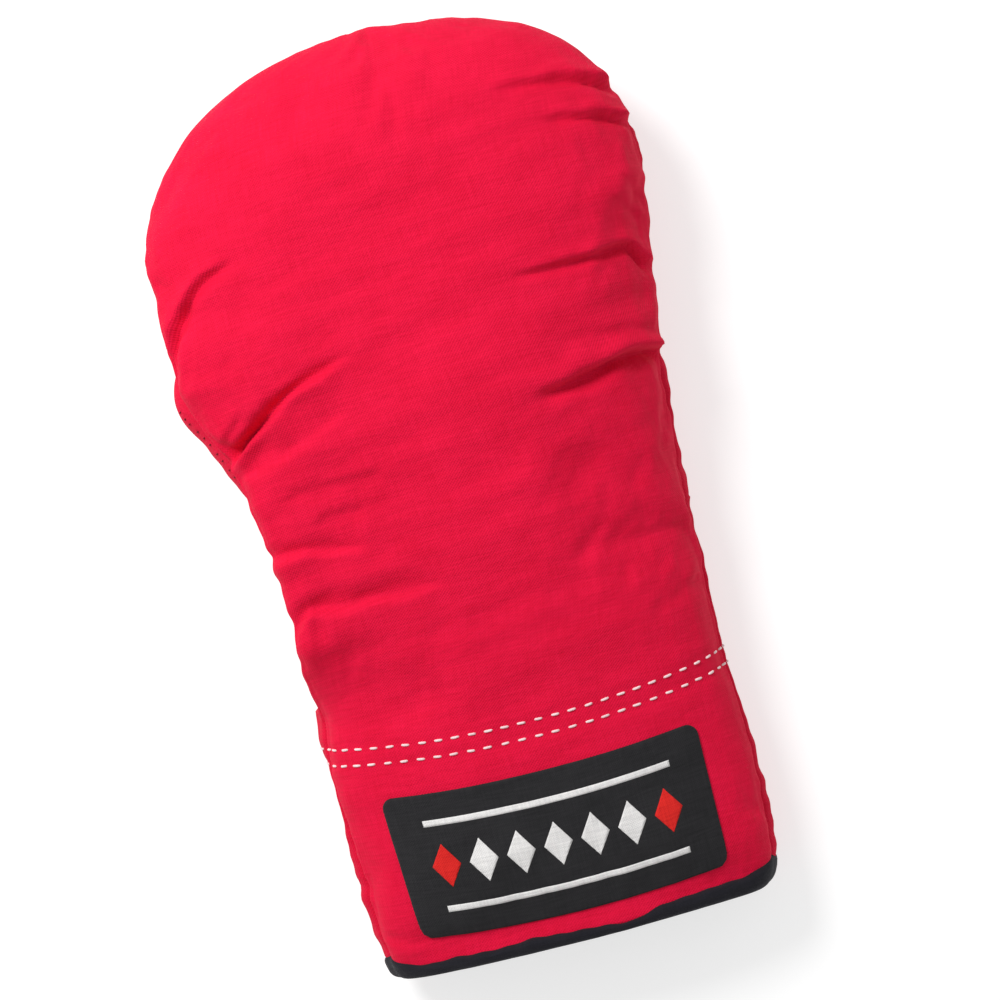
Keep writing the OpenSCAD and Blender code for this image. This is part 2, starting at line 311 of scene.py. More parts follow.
def body_point(y, turn, depth, side):
    """Point of the body's surface, depth inside the outer cloth. side is 1 on the back, -1 on the palm."""
    share = np.clip((y - CAP_Y) / (TIP_Y - depth - CAP_Y), 0, 1)
    height = rounded(share, CAP_POWER)
    cap = 1 - ramp(y, 84, 105)
    left = left_edge(y) - left_inset(y) * cap - depth + CAP_CENTRE
    right = right_edge(y) - right_inset(y) * cap - depth - CAP_CENTRE
    left = left * rounded(CAP_REACH * share, CAP_POWER_LEFT)
    right = right * rounded(CAP_REACH * share, CAP_POWER_RIGHT)
    middle = CAP_CENTRE + (right - left) / 2
    half = (right + left) / 2
    cosine, sine = np.cos(turn), np.clip(np.sin(turn), 0, 1)
    x = middle + half * cosine
    across = np.clip((cosine + 1) / 2, 0, 1)
    seam = mix(seam_left(y), seam_right(y), across)
    if side > 0:
        z = mix(seam, roof_line(y) - depth, height * sine ** ROOF_ROUNDNESS)
        return np.stack(np.broadcast_arrays(x, y, z), axis=-1)
    drop = np.minimum(1, PALM_STEEPNESS * sine ** PALM_ROUNDNESS)
    inset = np.where(cosine > 0, right_inset(y), -left_inset(y)) * cap
    x = x + inset * PALM_BULGE * np.clip(4 * drop * (1 - drop), 0, 1)
    lift = CUFF_LIFT * (1 - ramp(y, -76, -54))
    floor = depth + lift + hollow(x, y, 0.6 * depth)
    z = mix(seam, floor, height * drop)
    return np.stack(np.broadcast_arrays(x, y, z), axis=-1)


# --- Folds and puckers of the cloth ---
# Each fold: points along its valley, depth, width, height of the ridge beside it, the ridge's side
# (1 left of the line's direction, -1 right of it), and its strength at the line's start and end.
BACK_FOLDS = [
    # Beside the thumb: the deep fold and its shallow neighbours.
    ([(-74, 27), (-60, 36), (-48, 44), (-37, 48), (-24, 52.5)], 6.6, 1.5, 2.6, -1, (1.0, 0.2)),
    ([(-76, 31), (-63, 42.5)], 1.4, 1.7, 0.3, 1, (1.0, 0.4)),
    ([(-72, 21.5), (-54, 25.5), (-43, 30), (-28, 36)], 1.3, 3.0, 0.5, -1, (1.0, 0.5)),
    ([(-53, 11), (-32, 10.5), (-21, 12)], 1.1, 2.6, 0.3, 1, (0.8, 0.8)),
    ([(-46, 1), (-32, 1)], 0.8, 2.3, 0.2, 1, (0.8, 0.8)),
    ([(-70, -7), (-55, -7.5), (-44, -10), (-31, -11)], 2.3, 2.0, 1.1, -1, (1.1, 0.3)),
    ([(-67, -33), (-58, -27), (-45, -28.5), (-27, -28.5), (-9, -28)], 2.4, 2.6, 1.0, -1, (1.2, 0.3)),
    # Left of the fingers.
    ([(-86, 62), (-79, 75.5), (-67.5, 87), (-54, 92)], 3.6, 1.5, 1.8, 1, (1.2, 0.4)),
    ([(-87, 83.5), (-82, 93.5)], 1.1, 1.5, 0.3, 1, (1.0, 0.5)),
    ([(-85, 108), (-77, 117)], 0.6, 2.0, 0.3, 1, (1.0, 0.4)),
    # Right of the fingers, from the tip to the cuff.
    ([(88, 117.5), (77, 123), (60, 126), (40, 126.5)], 3.2, 1.4, 2.2, -1, (1.1, 0.1)),
    ([(89, 106.5), (76, 110.5), (56, 113)], 2.9, 1.3, 2.2, -1, (1.1, 0.3)),
    ([(80.5, 87.5), (87.5, 78)], 1.1, 1.6, 0.3, 1, (0.5, 1.0)),
    ([(76.5, 81), (86.5, 71)], 1.2, 1.7, 0.3, 1, (0.5, 1.0)),
    ([(84.5, 54.5), (75, 65.5), (63, 64.5), (48, 63.5), (30, 64)], 3.0, 1.5, 2.2, -1, (1.1, 0.2)),
    ([(80, 28.5), (66, 29), (53, 26), (44, 24.5), (30, 22)], 6.0, 2.2, 3.2, -1, (1.0, 0.3)),
    ([(79, 36), (60, 38.5), (41, 40)], 1.0, 2.6, 0.5, -1, (1.0, 0.4)),
    ([(72.5, -50), (51, -56)], 1.0, 2.7, 0.4, -1, (1.0, 0.5)),
    ([(72, -30), (49, -31)], 1.0, 2.5, 0.4, -1, (1.0, 0.5)),
    # At the cuff.
    ([(-64, -92), (-50, -90), (-30, -91)], -0.7, 4.0, 0.0, 1, (1.0, 0.4)),
    ([(74, -132), (64, -128)], 0.8, 2.2, 0.3, 1, (1.0, 0.4)),
    ([(-66, -142), (-50, -147), (-25, -149.5)], 0.9, 1.9, 0.5, -1, (1.0, 0.4)),
]
PALM_FOLDS = [
    ([(84, 30), (62, 27), (40, 29)], 2.4, 2.6, 1.0, 1, (1.0, 0.3)),
    ([(86, 66), (66, 62), (42, 64)], 1.8, 2.4, 0.8, 1, (1.0, 0.3)),
    ([(87, 108), (66, 112), (44, 110)], 1.6, 2.4, 0.8, 1, (1.0, 0.3)),
    ([(74, -22), (52, -26), (30, -24)], 1.4, 2.8, 0.6, 1, (1.0, 0.3)),
    ([(-64, -62), (-40, -58), (-12, -60)], 1.6, 2.6, 0.7, -1, (1.0, 0.4)),
    ([(0, -34), (14, -8), (18, 22)], 1.8, 3.0, 0.7, -1, (0.7, 0.5)),
    ([(-72, 110), (-56, 112), (-40, 108)], 1.8, 2.6, 0.8, -1, (1.0, 0.4)),
]


def smooth_line(points, count=25):
    """Points spread along a smooth line through a few given ones."""
    points = np.array(points, float)
    steps = np.linalg.norm(np.diff(points, axis=0), axis=1)
    at = np.concatenate([[0], np.cumsum(steps)])
    place = np.linspace(0, at[-1], count)
    across = curve_through(np.stack([at, points[:, 0]], axis=1))
    along = curve_through(np.stack([at, points[:, 1]], axis=1))
    return np.stack([across(place), along(place)], axis=1)


def beside_line(x, y, line):
    """Signed distance from a line, positive on its left, and the share of the line at the nearest place."""
    nearest = np.full(x.shape, 1e9)
    signed = np.zeros(x.shape)
    share = np.zeros(x.shape)
    last = len(line) - 1
    for k in range(last):
        (ax, ay), (bx, by) = line[k], line[k + 1]
        dx, dy = bx - ax, by - ay
        t = np.clip(((x - ax) * dx + (y - ay) * dy) / (dx * dx + dy * dy), 0, 1)
        away = np.hypot(x - ax - t * dx, y - ay - t * dy)
        side = np.where(dx * (y - ay) - dy * (x - ax) >= 0, 1, -1)
        closer = away < nearest
        nearest = np.where(closer, away, nearest)
        signed = np.where(closer, away * side, signed)
        share = np.where(closer, (k + t) / last, share)
    return signed, share


def uneven_bell(v, before, after):
    """Bell with a different width on each side of its middle."""
    return bell(v, np.where(v < 0, before, after))


def fold_heights(x, y, folds):
    """Height that the folds add to the cloth: steep towards the ridge, gentle on the valley's far side."""
    total = np.zeros(x.shape)
    for points, depth, width, ridge, side, (start, end) in folds:
        line = smooth_line(points)
        near = np.abs(x - line[:, 0].mean()) < np.ptp(line[:, 0]) / 2 + FOLD_REACH
        near &= np.abs(y - line[:, 1].mean()) < np.ptp(line[:, 1]) / 2 + FOLD_REACH
        away, share = beside_line(x[near], y[near], line)
        strength = mix(start, end, share) * (1 - 0.9 * ramp(share, 0.8, 1))
        width = width * (1 + 0.18 * np.sin(share * 17 + points[0][0]))
        towards = away * side
        valley = -depth * uneven_bell(towards, 1.5 * width, 0.7 * width)
        crest = ridge * uneven_bell(towards - 1.5 * width, 0.6 * width, 2.4 * width)
        total[near] += strength * (valley + crest)
    return total


def outline_place(x, y):
    """Place along the body's outline: up the right side, around the fingertips and down the left one."""
    radius = TIP_Y - CAP_Y + 17
    around = radius * np.arctan2(np.maximum(y - CAP_Y, 0) * HALF_WIDTH / (TIP_Y - CAP_Y), x)
    right = np.where(y < CAP_Y, y - CAP_Y, around)
    left = np.where(y < CAP_Y, radius * math.pi + CAP_Y - y, around)
    return np.where(x > 0, right, left)


def puckers(place, seed):
    """Uneven gathers along a seam, about -1 to 1."""
    rng = np.random.default_rng(seed)
    total = np.zeros(place.shape)
    for length in (7.3, 9.1, 11.7, 15.3, 23.0):
        total += np.sin(math.tau * place / length + rng.uniform(0, math.tau)) * rng.uniform(0.5, 1)
    swell = 0.6 + 0.4 * np.sin(place / 19 + 1.1)
    return total / 2.2 * swell


def stitch_line(x):
    """Y of the upper row of cuff stitches: it bows towards the cuff in the middle."""
    bow = np.where(x < 4, *STITCH_BOW)
    return STITCH_Y + bow * ((x - 4) / 67) ** 2


class Surface:
    """One side of the body: its cloth as a grid of points, with the folds in it."""

    CUFF, HAND, CAP, COLUMNS = 66, 168, 78, 285
    START = MOUTH_Y + 2.8
    CUFF_END = -52.0

    def __init__(self, side):
        self.side = side
        self.rows = self.row_list(0.0)
        self.turns = self.even_turns()
        self.base = self.layer(0.0)
        self.normal = normals_of(self.base, np.array([0, 0, side]))
        self.across = arc_lengths(self.base, 1)
        self.along = arc_lengths(self.base, 0)

    def form(self, wrinkles):
        """Sets the cloth's final points from its folds and the wrinkles left by its own slack."""
        self.lift = (self.heights() + wrinkles) * ramp(self.rows, MOUTH_Y + 2, MOUTH_Y + 10)[:, None]
        self.points = self.base + self.normal * self.lift[..., None]
        self.points[..., 2] = np.maximum(self.points[..., 2], TABLE_CLEARANCE)

    def row_list(self, depth):
        cuff = np.linspace(self.START, self.CUFF_END, self.CUFF + 1)[:-1]
        hand = np.linspace(self.CUFF_END, CAP_Y, self.HAND + 1)
        share = 1 - (1 - np.linspace(0, 1, self.CAP + 1)[1:]) ** 1.7
        return np.concatenate([cuff, hand, CAP_Y + (TIP_Y - depth - CAP_Y) * share])

    def even_turns(self):
        """Turns of each row's points that lie evenly along the cloth, and closer at the seams."""
        fine = np.linspace(0, math.pi, 721)
        lengths = arc_lengths(body_point(self.rows[:, None], fine[None, :], 0, self.side), 1)
        share = np.linspace(0, 1, self.COLUMNS + 1)
        share = share - 0.35 * np.sin(math.tau * share) / math.tau
        return np.array([np.interp(share * row[-1], row, fine) for row in lengths])

    def layer(self, depth):
        return body_point(self.row_list(depth)[:, None], self.turns, depth, self.side)

    def heights(self):
        x, y = self.base[..., 0], self.base[..., 1]
        edge = np.minimum(self.across, self.across[:, -1:] - self.across)
        edge = np.minimum(edge, self.along[-1:] - self.along)
        folds = BACK_FOLDS if self.side > 0 else PALM_FOLDS
        gather = GATHER_BACK if self.side > 0 else GATHER_PALM
        place = outline_place(x, y)
        calm = ramp(edge, 0, 12)
        cuff = 1 - ramp(y, -92, -70)
        lumps = LUMP_HEIGHT * waves(x, y, LUMP_LENGTH, 3 + self.side, stretch=1.5) * mix(1, 0.3, cuff)
        lines = LINE_HEIGHT * waves(x, y, LINE_LENGTH, 8 + self.side, stretch=3.0) * mix(1, 0.6, cuff)
        lift = (lumps + lines) * calm + fold_heights(x, y, folds) * mix(0.12, 1, ramp(edge, 0, 11))
        gather = gather * mix(1, 0.55 if self.side > 0 else 1.0, cuff)
        gather = gather * mix(1, 0.5, ramp(y, 40, 80) * (x < 0))
        lift += gather * puckers(place, 21) * np.exp(-edge / PUCKER_REACH)
        lift -= SEAM_DEPTH * bell(edge, SEAM_WIDTH)
        for row in (0, 1):
            away = y - stitch_line(x) + row * STITCH_GAP
            lift -= ROW_DIP * bell(away, ROW_WIDTH)
        return lift


def smoothed(values, reach):
    """Values of a grid averaged with their neighbours, a few steps each way."""
    for axis in (0, 1):
        padding = [(reach, reach) if k == axis else (0, 0) for k in (0, 1)]
        padded = np.pad(values, padding, mode="edge")
        total = np.cumsum(padded, axis=axis)
        total = np.insert(total, 0, 0, axis=axis)
        size = 2 * reach + 1
        count = values.shape[axis]
        upper = np.take(total, np.arange(size, size + count), axis=axis)
        values = (upper - np.take(total, np.arange(count), axis=axis)) / size
    return values


def bag(back, palm, rows, columns):
    """One closed bag from every few points of both sides, welded along the seam."""
    fronts = back.base[rows][:, columns]
    behind = palm.base[rows][:, columns]
    count, wide = fronts.shape[:2]
    index = np.arange(count * wide).reshape(count, wide)
    shared = np.zeros((count, wide), bool)
    shared[:, 0] = shared[:, -1] = shared[-1] = True
    other = np.where(shared, index, 0)
    other[~shared] = count * wide + np.arange((~shared).sum())
    points = np.concatenate([fronts.reshape(-1, 3), behind[~shared]])
    faces = []
    for grid, flip in ((index, False), (other, True)):
        face = np.stack([grid[:-1, :-1], grid[1:, :-1], grid[1:, 1:], grid[:-1, 1:]], axis=-1)
        faces += (face[..., ::-1] if flip else face).reshape(-1, 4).tolist()
    faces.append(np.concatenate([index[0], other[0, -2:0:-1]])[::-1].tolist())
    return points, faces, index, other


def slack_wrinkles(back, palm):
    """Wrinkles of the filled mitt: a cloth simulation of slack cotton pressed out by its padding."""
    rows = np.linspace(0, back.base.shape[0] - 1, SIM_ROWS).round().astype(int)
    columns = np.linspace(0, back.base.shape[1] - 1, SIM_COLUMNS).round().astype(int)
    points, faces, index, other = bag(back, palm, rows, columns)
    piece = new_piece("slack_cloth", points, faces)
    held = piece.vertex_groups.new(name="held")
    held.add(np.unique(np.concatenate([index[:2], other[:2]])).tolist(), 1.0, "REPLACE")
    cloth = piece.modifiers.new("cloth", "CLOTH")
    settings = cloth.settings
    settings.quality = SIM_QUALITY
    settings.mass = SIM_MASS
    settings.use_pressure = True
    settings.uniform_pressure_force = SIM_PRESSURE
    settings.bending_stiffness = SIM_BENDING
    settings.shrink_min = -SIM_SLACK
    settings.effector_weights.gravity = 0
    settings.vertex_group_mass = "held"
    cloth.collision_settings.use_collision = False
    for number in range(1, SIM_FRAMES + 1):
        bpy.context.scene.frame_set(number)
    shown = piece.evaluated_get(bpy.context.evaluated_depsgraph_get())
    moved = np.empty(len(points) * 3)
    shown.data.vertices.foreach_get("co", moved)
    moved = moved.reshape(-1, 3) / MM - points
    bpy.data.objects.remove(piece, do_unlink=True)
    bpy.context.scene.frame_set(1)
    found = []
    for surface, grid in ((back, index), (palm, other)):
        normal = surface.normal[rows][:, columns]
        out = np.sum(moved[grid] * normal, axis=2)
        out = np.clip(out - smoothed(out, SIM_BLUR), -SIM_LIMIT, SIM_LIMIT)
        out[:, :3] *= 0.5
        out[:, -3:] *= 0.5
        fine = np.array([np.interp(np.arange(surface.base.shape[1]), columns, line) for line in out])
        fine = np.array([np.interp(np.arange(surface.base.shape[0]), rows, line) for line in fine.T]).T
        found.append(smoothed(smoothed(fine, 2), 1).round(3))
    return found


def join_at_seams(back, palm):
    """Brings the two sides to the same points along their shared seam."""
    for columns in (slice(0, 1), slice(-1, None)):
        shared = (back.points[:, columns] + palm.points[:, columns]) / 2
        for surface in (back, palm):
            gap = shared - surface.points[:, columns]
            first = surface.across if columns.start == 0 else surface.across[:, -1:] - surface.across
            surface.points += gap * np.exp(-((first / 4) ** 2))[..., None]
    shared = (back.points[-1:] + palm.points[-1:]) / 2
    for surface in (back, palm):
        gap = shared - surface.points[-1:]
        reach = np.exp(-(((surface.along[-1:] - surface.along) / 4) ** 2))[..., None]
        surface.points += gap * reach


# --- Meshes ---

def new_piece(name, points, faces, smooth=True):
    mesh = bpy.data.meshes.new(name)
    mesh.from_pydata((np.asarray(points, float) * MM).tolist(), [], faces)
    mesh.update()
    if smooth:
        mesh.polygons.foreach_set("use_smooth", [True] * len(mesh.polygons))
    piece = bpy.data.objects.new(name, mesh)
    bpy.context.scene.collection.objects.link(piece)
    return piece


def grid_faces(rows, columns, start, flip):
    """Four-sided faces between a grid's points."""
    index = start + np.arange(rows * columns).reshape(rows, columns)
    faces = np.stack([index[:-1, :-1], index[1:, :-1], index[1:, 1:], index[:-1, 1:]], axis=-1)
    faces = faces.reshape(-1, 4)
    return faces[:, ::-1] if flip else faces


def boundary(rows, columns, start):
    """Points around a grid's edge, in order."""
    index = start + np.arange(rows * columns).reshape(rows, columns)
    return np.concatenate([index[0, :-1], index[:-1, -1], index[-1, :0:-1], index[:0:-1, 0]]).tolist()


def slab(name, outer, inner, side, lengths=None):
    """Closed piece between two grids. The inner one may have a whole number of times fewer steps.

    lengths are the cloth's own coordinates at the outer points, for the weave.
    """
    rows, columns = outer.shape[:2]
    inner_rows, inner_columns = inner.shape[:2]
    ratio = (rows - 1) // (inner_rows - 1)
    size = rows * columns
    faces = grid_faces(rows, columns, 0, side < 0).tolist()
    faces += grid_faces(inner_rows, inner_columns, size, side > 0).tolist()
    loop = boundary(rows, columns, 0)
    inner_loop = boundary(inner_rows, inner_columns, size)
    for k, start in enumerate(inner_loop):
        after = inner_loop[(k + 1) % len(inner_loop)]
        outside = [loop[(k * ratio + step) % len(loop)] for step in range(ratio + 1)]
        face = outside + [after, start]
        faces.append(face[::-1] if side < 0 else face)
    points = np.concatenate([outer.reshape(-1, 3), inner.reshape(-1, 3)])
    piece = new_piece(name, points, faces)
    if lengths is not None:
        inside = lengths[::ratio, ::ratio]
        cloth_coordinates(piece, np.concatenate([lengths.reshape(-1, 2), inside.reshape(-1, 2)]))
    return piece


def cloth_coordinates(piece, lengths):
    """Writes the cloth's own coordinates, in millimetres, as the piece's UV map."""
    corners = np.empty(len(piece.data.loops), int)
    piece.data.loops.foreach_get("vertex_index", corners)
    uv = piece.data.uv_layers.new(name="cloth_mm")
    uv.data.foreach_set("uv", lengths[corners].astype(np.float32).ravel())


def rod(points, lift, radius, sides=8):
    """Points and faces of a rounded rod along a short path. lift is the surface's normal there."""
    points = np.asarray(points, float)
    tangent = np.gradient(points, axis=0)
    tangent /= np.linalg.norm(tangent, axis=1, keepdims=True)
    beside = np.cross(lift, tangent)
    beside /= np.linalg.norm(beside, axis=1, keepdims=True)
    above = np.cross(tangent, beside)
    share = np.linspace(-1, 1, len(points))
    wide = radius * np.sqrt(np.maximum(1 - np.abs(share) ** 4, 0.04))
    turn = np.arange(sides) * math.tau / sides
    ring = points[:, None] + wide[:, None, None] * (
        np.cos(turn)[None, :, None] * beside[:, None] + np.sin(turn)[None, :, None] * above[:, None]
    )
    count = len(points)
    faces = [
        [i * sides + k, i * sides + (k + 1) % sides, (i + 1) * sides + (k + 1) % sides, (i + 1) * sides + k]
        for i in range(count - 1) for k in range(sides)
    ]
    faces.append(list(range(sides))[::-1])
    faces.append([(count - 1) * sides + k for k in range(sides)])
    return ring.reshape(-1, 3), faces


def joined(name, parts):
    """One piece from several lists of points and faces."""
    points, faces, start = [], [], 0
    for some_points, some_faces in parts:
        points.append(some_points)
        faces += [[start + k for k in face] for face in some_faces]
        start += len(some_points)
    return new_piece(name, np.concatenate(points), faces)


# --- Materials ---

def srgb(red, green, blue):
    """Linear colour from screen values of 0 to 255."""
    screen = np.array([red, green, blue]) / 255
    linear = np.where(screen < 0.04045, screen / 12.92, ((screen + 0.055) / 1.055) ** 2.4)
    return (*linear.tolist(), 1.0)


class Shader:
    """A material's nodes, made with short calls."""

    def __init__(self, name):
        self.material = bpy.data.materials.new(name)
        self.material.use_nodes = True
        self.tree = self.material.node_tree
        self.surface = self.tree.nodes["Principled BSDF"]

    def node(self, kind, settings=None, **inputs):
        made = self.tree.nodes.new(kind)
        for key, value in (settings or {}).items():
            setattr(made, key, value)
        for key, value in inputs.items():
            self.put(made.inputs[int(key[1:]) if key[1:].isdigit() else key], value)
        return made

    def put(self, socket, value):
        if isinstance(value, bpy.types.NodeSocket):
            self.tree.links.new(value, socket)
        else:
            socket.default_value = value

    def math(self, operation, *values):
        made = self.tree.nodes.new("ShaderNodeMath")
        made.operation = operation
        for socket, value in zip(made.inputs, values):
            self.put(socket, value)
        return made.outputs[0]

    def scaled(self, vector, scale):
        made = self.node("ShaderNodeVectorMath", {"operation": "MULTIPLY"}, _0=vector, _1=scale)
        return made.outputs[0]

    def noise(self, vector, scale, detail=2.0, roughness=0.5):
        made = self.node(
            "ShaderNodeTexNoise", Vector=vector, Scale=scale, Detail=detail, Roughness=roughness
        )
        return made.outputs["Fac"]

    def spread(self, value, low, high, new_low, new_high):
        made = self.node("ShaderNodeMapRange", _0=value, _1=low, _2=high, _3=new_low, _4=new_high)
        return made.outputs[0]

    def blend(self, share, first, second):
        made = self.node("ShaderNodeMix", {"data_type": "RGBA"}, _0=share, _6=first, _7=second)
        return made.outputs[2]

    def bump(self, height, strength, distance, under=None):
        made = self.node("ShaderNodeBump", Strength=strength, Distance=distance, Height=height)
        if under is not None:
            self.put(made.inputs["Normal"], under)
        return made.outputs[0]

    def set(self, **values):
        names = {"color": "Base Color", "rough": "Roughness", "normal": "Normal",
                 "shine": "Specular IOR Level", "sheen": "Sheen Weight",
                 "sheen_rough": "Sheen Roughness", "sheen_tint": "Sheen Tint"}
        for key, value in values.items():
            self.put(self.surface.inputs[names[key]], value)
        return self.material


def woven(name, dark, light, thread=0.55, grain=1.0, sheen=0.04, sheen_tint=(1, 1, 1, 1), shine=0.12):
    """Plain-woven cotton: over-and-under threads, uneven yarn, soft mottling and a faint nap."""
    shader = Shader(name)
    uv = shader.node("ShaderNodeUVMap", {"uv_map": "cloth_mm"}).outputs[0]
    parts = shader.node("ShaderNodeSeparateXYZ", _0=uv).outputs
    turn = math.pi / thread
    across = shader.math("SINE", shader.math("MULTIPLY", parts[0], turn))
    along = shader.math("SINE", shader.math("MULTIPLY", parts[1], turn))
    weave = shader.math("MULTIPLY", across, along)
    weft = shader.noise(shader.scaled(uv, (0.10, 1.5, 1.0)), 1.0, 3.0)
    warp = shader.noise(shader.scaled(uv, (1.5, 0.10, 1.0)), 1.0, 3.0)
    mottle = shader.noise(uv, 0.045, 3.0, 0.6)
    fleck = shader.noise(uv, 1.3, 1.0)
    yarn = shader.math("MULTIPLY_ADD", weft, 0.55, shader.math("MULTIPLY", warp, 0.45))
    shade = shader.spread(yarn, 0.3, 0.7, 0.5 - 0.32 * grain, 0.5 + 0.32 * grain)
    shade = shader.math("MULTIPLY_ADD", shader.spread(mottle, 0.3, 0.7, -0.12, 0.12), 1.0, shade)
    shade = shader.math("MULTIPLY_ADD", weave, 0.06 * grain, shade)
    shade = shader.math("ADD", shade, shader.spread(fleck, 0.66, 0.78, 0.0, 0.3 * grain))
    color = shader.blend(shader.math("MINIMUM", shader.math("MAXIMUM", shade, 0.0), 1.0), dark, light)
    threads = shader.bump(shader.math("ADD", weave, yarn), 0.35, 0.00025)
    creases = shader.noise(shader.scaled(uv, (0.09, 0.2, 1.0)), 1.0, 4.0, 0.6)
    normal = shader.bump(creases, 0.5, 0.0012, threads)
    return shader.set(color=color, rough=0.84, shine=shine, sheen=sheen, sheen_rough=0.45,
                      sheen_tint=sheen_tint, normal=normal)


def fibrous(name, dark, light, scale, rough=0.9, shine=0.15, bump=0.0002, sheen=0.05):
    """Thread, tape or wadding without a cloth map: fine fibres in the piece's own space."""
    shader = Shader(name)
    place = shader.node("ShaderNodeTexCoord").outputs["Object"]
    fine = shader.noise(place, scale, 3.0, 0.6)
    broad = shader.noise(place, scale / 12, 2.0)
    shade = shader.math("MULTIPLY_ADD", fine, 0.7, shader.math("MULTIPLY", broad, 0.3))
    color = shader.blend(shader.spread(shade, 0.35, 0.65, 0.0, 1.0), dark, light)
    return shader.set(color=color, rough=rough, shine=shine, sheen=sheen, sheen_rough=0.5,
                      normal=shader.bump(fine, 0.5, bump))


def make_materials():
    red_tint = (1.0, 0.25, 0.3, 1.0)
    return {
        "red_cotton": woven("red_cotton", srgb(200, 5, 44), srgb(230, 20, 66), sheen_tint=red_tint),
        # The palm's cotton is the back's red cotton painted darker: painted shade on the side that faces
        # the table.
        "red_cotton_palm": woven(
            "red_cotton_palm", srgb(190, 5, 42), srgb(222, 20, 61), sheen_tint=red_tint),
        "black_lining": woven("black_lining", srgb(16, 16, 20), srgb(34, 34, 40), shine=0.2),
        "black_binding": woven("black_binding", srgb(12, 12, 18), srgb(32, 31, 40), 0.4, shine=0.25),
        "label_black": woven("label_black", srgb(22, 22, 24), srgb(46, 45, 47), 0.45, 0.9, shine=0.2),
        "label_white": woven("label_white", srgb(196, 194, 194), srgb(244, 242, 240), 0.45, 1.1),
        "label_red": woven("label_red", srgb(186, 24, 26), srgb(232, 48, 42), 0.45),
        "wadding": fibrous("wadding", srgb(214, 210, 202), srgb(242, 240, 234), 900),
        "white_thread": fibrous("white_thread", srgb(222, 184, 188), srgb(246, 228, 228), 2600),
        "dark_red_thread": fibrous("dark_red_thread", srgb(96, 8, 24), srgb(140, 18, 40), 2600),
    }


def finish_piece(piece, material, *nodes, fill=None, body="mitt"):
    """Gives a piece its material and slot and hides the CAD nodes it stands for; a mitt piece is attached
    to the mitt's body, any other only has its transform baked into its mesh.
    """
    piece.data.materials.append(MATERIALS[material])
    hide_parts(*nodes)
    if body == "mitt":
        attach(piece, "mitt")
    else:
        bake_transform(piece)
    return piece


# --- Body of the mitt ---

def lowest_near(values, reach):
    """The lowest value within a few steps of each point of a grid."""
    found = values.copy()
    for axis in (0, 1):
        padding = [(reach, reach) if k == axis else (0, 0) for k in (0, 1)]
        padded = np.pad(found, padding, mode="edge")
        count = values.shape[axis]
        shifted = [np.take(padded, np.arange(k, k + count), axis=axis) for k in range(2 * reach + 1)]
        found = np.min(shifted, axis=0)
    return found


def sunk(base, normal, lift, highest):
    """A hidden layer: every few points of its base shape, kept under the folds of the cloth above it."""
    under = np.minimum(lowest_near(lift, COARSER), highest)
    return (base + normal * under[..., None])[::COARSER, ::COARSER]


def make_body(surface, word, material):
    side = surface.side
    inner, pad_out, pad_in, lining_out, lining_in = (
        sunk(surface.layer(depth), surface.normal, surface.lift, HIGHEST_LAYER)
        for depth in (CLOTH, *WADDING, *LINING)
    )
    lengths = np.stack([surface.across - surface.across[:, -1:] / 2, surface.along], axis=-1)
    skin = slab(f"{word}_panel", surface.points, inner, side, lengths)
    finish_piece(skin, material, f"{word}_panel", fill=0.5)
    pad = slab(f"{word}_wadding", pad_out, pad_in, side)
    finish_piece(pad, "wadding", f"{word}_wadding", fill=0.5)
    lining = slab(f"{word}_lining", lining_out, lining_in, side, lengths[::COARSER, ::COARSER])
    finish_piece(lining, "black_lining", f"{word}_lining", fill=0.2)


# --- Cuff ---

def make_binding():
    """Puffy tape around the mouth, folded over the cut edges of every layer."""
    half_turn = np.linspace(0, math.pi, BINDING_TURNS // 2 + 1)
    section = np.arange(BINDING_SIDES) * math.tau / BINDING_SIDES
    cosine, sine = np.cos(section), np.sin(section)
    outward = -np.sign(cosine) * np.abs(cosine) ** BINDING_SQUARENESS
    upward = np.sign(sine) * np.abs(sine) ** BINDING_SQUARENESS
    rings, lengths = [], []
    start = 0.0
    for side, turns in ((1, half_turn[:-1]), (-1, half_turn[::-1][:-1])):
        place = body_point(np.full(turns.shape, BINDING_TOP), turns, 0, side)
        step = np.linalg.norm(np.diff(place, axis=0), axis=1)
        around = start + np.concatenate([[0], np.cumsum(step)])
        start = around[-1] + step[-1]
        waviness = BINDING_WAVE * waves(around, around * 0, 30, 5, 6)
        waviness = waviness + BINDING_RIPPLE * waves(around, around * 0, 9, 6, 6)
        top = BINDING_TOP + BINDING_CORNER * np.abs(np.cos(turns)) ** 8 + waviness
        top = top + BINDING_RIGHT * ramp(np.cos(turns), 0.1, 0.8)
        low = BINDING_LOW + BINDING_TILT * ramp(np.cos(turns), 0.0, 0.8)
        half = (top - low) / 2
        puff = 1 + 0.05 * waves(around, around * 0, 12, 7, 6)
        depth = BINDING_MIDDLE + BINDING_HALF * puff[:, None] * outward[None, :]
        y = (low + half)[:, None] + half[:, None] * upward[None, :]
        rings.append(body_point(y, turns[:, None], depth, side))
        round_it = section / math.tau * 26
        lengths.append(np.stack(np.broadcast_arrays(around[:, None], round_it[None, :]), axis=-1))
    points = np.concatenate(rings)
    points[..., 2] = np.maximum(points[..., 2], TABLE_CLEARANCE)
    count = len(points)
    faces = []
    for i in range(count):
        for k in range(BINDING_SIDES):
            after, along = (i + 1) % count, (k + 1) % BINDING_SIDES
            faces.append([i * BINDING_SIDES + k, i * BINDING_SIDES + along,
                          after * BINDING_SIDES + along, after * BINDING_SIDES + k])
    piece = new_piece("cuff_binding", points.reshape(-1, 3), faces)
    cloth_coordinates(piece, np.concatenate(lengths).reshape(-1, 2))
    finish_piece(piece, "black_binding", "cuff_binding", fill=0.7)


